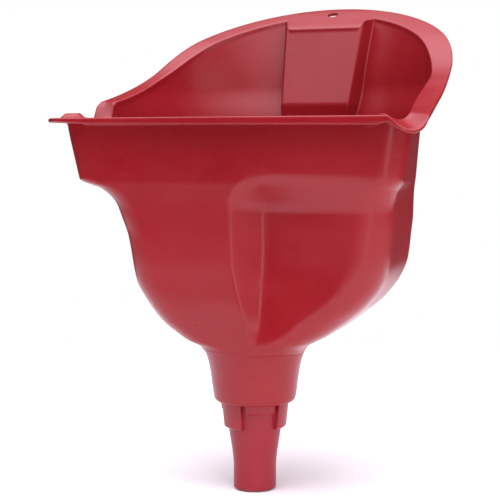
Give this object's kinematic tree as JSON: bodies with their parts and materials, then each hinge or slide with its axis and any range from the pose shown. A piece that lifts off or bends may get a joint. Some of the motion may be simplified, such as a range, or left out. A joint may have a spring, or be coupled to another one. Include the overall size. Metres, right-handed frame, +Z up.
{
  "type": "quick-fill funnel",
  "caption": "Wide quick-fill funnel with a low front rim, tall rear hood, recessed front corner, ribbed spout and a lift-out strainer.",
  "frame": {"origin": "on the spout's axis, in the plane of the spout's tip", "axes": "+Z up along the spout's axis, +Y towards the tall rear hood, +X towards the side with the recess and the pour notch"},
  "size_m": [0.2204, 0.2185, 0.2927],
  "materials": {
    "body_plastic": "semi-gloss moulded red",
    "spout_plastic": "semi-gloss moulded red",
    "strainer_plastic": "satin black",
    "screen_metal": "woven wire"
  },
  "bodies": {
    "funnel": {"bowl": "body_plastic", "spout": "spout_plastic"},
    "strainer": {"strainer_frame": "strainer_plastic", "strainer_mesh": "screen_metal"}
  },
  "joints": [
    {"name": "strainer_lift", "type": "slide", "parent": "funnel", "child": "strainer", "axis": [0, 0, 1], "range_m": [0, 0.215]}
  ]
}
